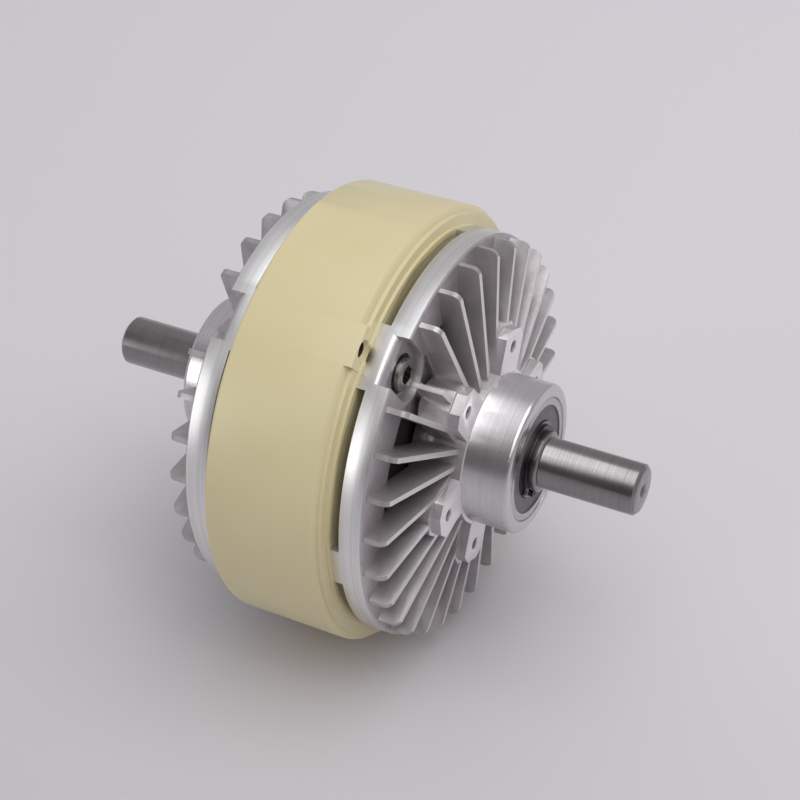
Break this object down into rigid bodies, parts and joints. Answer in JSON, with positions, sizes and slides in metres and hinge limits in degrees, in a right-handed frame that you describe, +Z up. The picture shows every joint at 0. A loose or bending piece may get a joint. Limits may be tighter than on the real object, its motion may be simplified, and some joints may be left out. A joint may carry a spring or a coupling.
{
  "type": "magnetic powder brake",
  "caption": "Magnetic powder brake with a shaft at each end: a painted ring yoke with a field coil between finned cast covers, a drum on one shaft and a rotor on the other.",
  "frame": {"origin": "centre of the yoke on the shaft axis, midway between the two shaft ends", "axes": "+X along the shaft axis out of the driven shaft's end, +Z up, +Y out of the lead inlet"},
  "size_m": [0.282, 0.219, 0.219],
  "materials": {
    "yoke_paint": "semi-gloss cream enamel",
    "cast_aluminium": "as cast, turned on the rim and hub",
    "ground_steel": "ground bright",
    "bearing_steel": "ground bright",
    "dark_shield": "dark satin",
    "spring_steel": "dark, oiled",
    "plated_steel": "zinc plated",
    "carbon_steel": "turned",
    "stainless_steel": "turned",
    "plate_aluminium": "turned",
    "copper_wire": "enamelled winding, taped",
    "iron_powder": "fine dark powder",
    "cage_brass": "pressed",
    "rubber": "matte black"
  },
  "bodies": {
    "housing": {"yoke_body": "yoke_paint", "yoke_cheek": "carbon_steel", "lead_grommet": "rubber", "coil_spacer_ring": "stainless_steel", "field_coil": "copper_wire", "left_cover": "cast_aluminium", "left_cover_bolts": "plated_steel", "left_bearing_outer_ring": "bearing_steel", "left_bearing_outer_shield": "dark_shield", "left_bearing_inner_shield": "dark_shield", "right_cover": "cast_aluminium", "right_cover_bolts": "plated_steel", "right_bearing_outer_ring": "bearing_steel", "right_bearing_outer_shield": "dark_shield", "right_bearing_inner_shield": "dark_shield"},
    "drive": {"drive_shaft": "ground_steel", "left_bearing_inner_ring": "bearing_steel", "left_shaft_circlip": "spring_steel", "drum_left_ring": "carbon_steel", "drum_right_ring": "carbon_steel", "drum_band": "stainless_steel", "drum_left_plate": "plate_aluminium", "drum_right_plate": "plate_aluminium", "drum_left_screws": "plated_steel", "drum_right_screws": "plated_steel", "shaft_flange_screws": "plated_steel", "magnetic_powder": "iron_powder", "pilot_bearing_outer_ring": "bearing_steel", "plate_bearing_outer_ring": "bearing_steel", "plate_bearing_outer_shield": "dark_shield", "plate_bearing_inner_shield": "dark_shield"},
    "driven": {"driven_shaft": "ground_steel", "right_bearing_inner_ring": "bearing_steel", "right_shaft_circlip": "spring_steel", "rotor": "carbon_steel", "rotor_key": "plated_steel", "rotor_circlip": "spring_steel", "pilot_bearing_inner_ring": "bearing_steel", "plate_bearing_inner_ring": "bearing_steel", "bearing_spacer_sleeve": "carbon_steel"},
    "left_ball_set": {"left_bearing_balls": "bearing_steel", "left_bearing_cage": "cage_brass"},
    "right_ball_set": {"right_bearing_balls": "bearing_steel", "right_bearing_cage": "cage_brass"},
    "plate_ball_set": {"plate_bearing_balls": "bearing_steel", "plate_bearing_cage": "cage_brass"},
    "pilot_roller_set": {"pilot_bearing_rollers": "bearing_steel"}
  },
  "joints": [
    {"name": "drive_spin", "type": "hinge", "parent": "housing", "child": "drive", "pos_m": [0, 0, 0], "axis": [1, 0, 0], "continuous": true},
    {"name": "driven_spin", "type": "hinge", "parent": "housing", "child": "driven", "pos_m": [0, 0, 0], "axis": [1, 0, 0], "continuous": true},
    {"name": "left_ball_set_spin", "type": "hinge", "parent": "housing", "child": "left_ball_set", "pos_m": [0, 0, 0], "axis": [1, 0, 0], "continuous": true},
    {"name": "right_ball_set_spin", "type": "hinge", "parent": "housing", "child": "right_ball_set", "pos_m": [0, 0, 0], "axis": [1, 0, 0], "continuous": true},
    {"name": "plate_ball_set_spin", "type": "hinge", "parent": "drive", "child": "plate_ball_set", "pos_m": [0, 0, 0], "axis": [1, 0, 0], "continuous": true},
    {"name": "pilot_roller_set_spin", "type": "hinge", "parent": "drive", "child": "pilot_roller_set", "pos_m": [0, 0, 0], "axis": [1, 0, 0], "continuous": true}
  ],
  "couplings": [
    {"joint": "left_ball_set_spin", "follows": "drive_spin", "ratio": 0.3965},
    {"joint": "right_ball_set_spin", "follows": "driven_spin", "ratio": 0.3965},
    {"joint": "plate_ball_set_spin", "follows": "driven_spin", "ratio": 0.3965},
    {"joint": "pilot_roller_set_spin", "follows": "driven_spin", "ratio": 0.4226}
  ]
}
